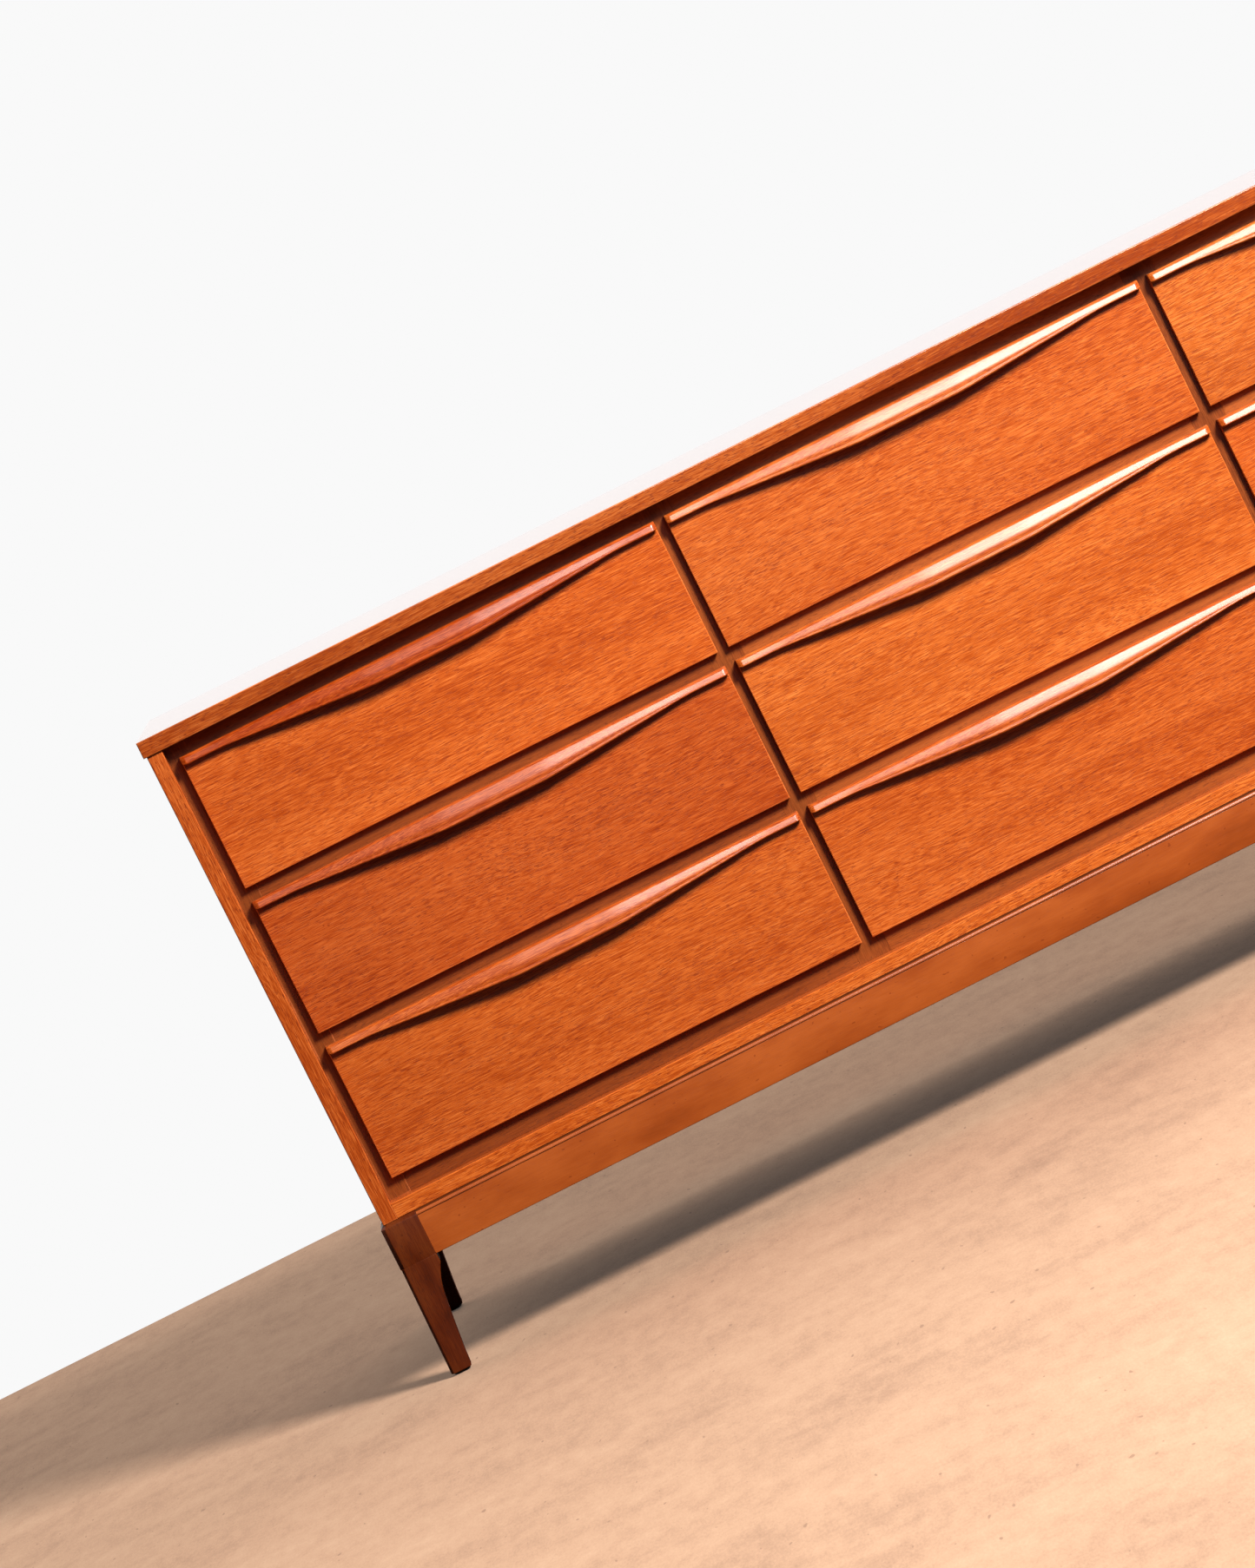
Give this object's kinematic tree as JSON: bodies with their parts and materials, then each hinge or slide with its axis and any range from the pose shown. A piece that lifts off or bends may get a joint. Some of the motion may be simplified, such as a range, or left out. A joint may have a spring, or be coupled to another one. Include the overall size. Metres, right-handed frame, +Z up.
{
  "type": "low dresser",
  "caption": "Long, low wooden dresser: three columns of sliding drawers with full-length carved lip pulls, in a flat case on a base with tapered legs.",
  "frame": {"origin": "on the floor under the centre of the dresser's outline, pulls included", "axes": "+X to the right along the front, +Y from the drawers towards the back, +Z up; drawers open towards -Y"},
  "size_m": [1.835, 0.4856, 0.778],
  "materials": {
    "top_veneer": "satin",
    "case_veneer": "satin",
    "front_veneer": "satin",
    "pull_wood": "satin",
    "frame_wood": "satin",
    "base_wood": "satin",
    "leg_wood": "satin",
    "inner_wood": "matte",
    "plywood": "matte",
    "glide_plastic": "matte",
    "screw_steel": "plain"
  },
  "bodies": {
    "case": {"top_panel": "top_veneer", "side_left": "case_veneer", "side_right": "case_veneer", "bottom_panel": "case_veneer", "back_panel": "plywood", "partition_left": "inner_wood", "partition_right": "inner_wood", "stile_left": "frame_wood", "stile_right": "frame_wood", "stiles_middle": "frame_wood", "rail_top": "frame_wood", "rails_middle": "frame_wood", "rail_bottom": "frame_wood", "drawer_guides": "inner_wood", "apron_front": "base_wood", "apron_back": "base_wood", "aprons_side": "base_wood", "leg_front_left": "leg_wood", "leg_front_right": "leg_wood", "leg_back_left": "leg_wood", "leg_back_right": "leg_wood", "foot_glides": "glide_plastic", "corner_blocks": "inner_wood", "base_screws": "screw_steel"},
    "drawer_r1c1": {"drawer_front_r1c1": "front_veneer", "drawer_pull_r1c1": "pull_wood", "drawer_box_r1c1": "inner_wood", "drawer_bottom_r1c1": "plywood"},
    "drawer_r1c2": {"drawer_front_r1c2": "front_veneer", "drawer_pull_r1c2": "pull_wood", "drawer_box_r1c2": "inner_wood", "drawer_bottom_r1c2": "plywood"},
    "drawer_r1c3": {"drawer_front_r1c3": "front_veneer", "drawer_pull_r1c3": "pull_wood", "drawer_box_r1c3": "inner_wood", "drawer_bottom_r1c3": "plywood"},
    "drawer_r2c1": {"drawer_front_r2c1": "front_veneer", "drawer_pull_r2c1": "pull_wood", "drawer_box_r2c1": "inner_wood", "drawer_bottom_r2c1": "plywood"},
    "drawer_r2c2": {"drawer_front_r2c2": "front_veneer", "drawer_pull_r2c2": "pull_wood", "drawer_box_r2c2": "inner_wood", "drawer_bottom_r2c2": "plywood"},
    "drawer_r2c3": {"drawer_front_r2c3": "front_veneer", "drawer_pull_r2c3": "pull_wood", "drawer_box_r2c3": "inner_wood", "drawer_bottom_r2c3": "plywood"},
    "drawer_r3c1": {"drawer_front_r3c1": "front_veneer", "drawer_pull_r3c1": "pull_wood", "drawer_box_r3c1": "inner_wood", "drawer_bottom_r3c1": "plywood"},
    "drawer_r3c2": {"drawer_front_r3c2": "front_veneer", "drawer_pull_r3c2": "pull_wood", "drawer_box_r3c2": "inner_wood", "drawer_bottom_r3c2": "plywood"},
    "drawer_r3c3": {"drawer_front_r3c3": "front_veneer", "drawer_pull_r3c3": "pull_wood", "drawer_box_r3c3": "inner_wood", "drawer_bottom_r3c3": "plywood"}
  },
  "joints": [
    {"name": "drawer_r1c1_slide", "type": "slide", "parent": "case", "child": "drawer_r1c1", "axis": [0, -1, 0], "range_m": [0, 0.33]},
    {"name": "drawer_r1c2_slide", "type": "slide", "parent": "case", "child": "drawer_r1c2", "axis": [0, -1, 0], "range_m": [0, 0.33]},
    {"name": "drawer_r1c3_slide", "type": "slide", "parent": "case", "child": "drawer_r1c3", "axis": [0, -1, 0], "range_m": [0, 0.33]},
    {"name": "drawer_r2c1_slide", "type": "slide", "parent": "case", "child": "drawer_r2c1", "axis": [0, -1, 0], "range_m": [0, 0.33]},
    {"name": "drawer_r2c2_slide", "type": "slide", "parent": "case", "child": "drawer_r2c2", "axis": [0, -1, 0], "range_m": [0, 0.33]},
    {"name": "drawer_r2c3_slide", "type": "slide", "parent": "case", "child": "drawer_r2c3", "axis": [0, -1, 0], "range_m": [0, 0.33]},
    {"name": "drawer_r3c1_slide", "type": "slide", "parent": "case", "child": "drawer_r3c1", "axis": [0, -1, 0], "range_m": [0, 0.33]},
    {"name": "drawer_r3c2_slide", "type": "slide", "parent": "case", "child": "drawer_r3c2", "axis": [0, -1, 0], "range_m": [0, 0.33]},
    {"name": "drawer_r3c3_slide", "type": "slide", "parent": "case", "child": "drawer_r3c3", "axis": [0, -1, 0], "range_m": [0, 0.33]}
  ]
}
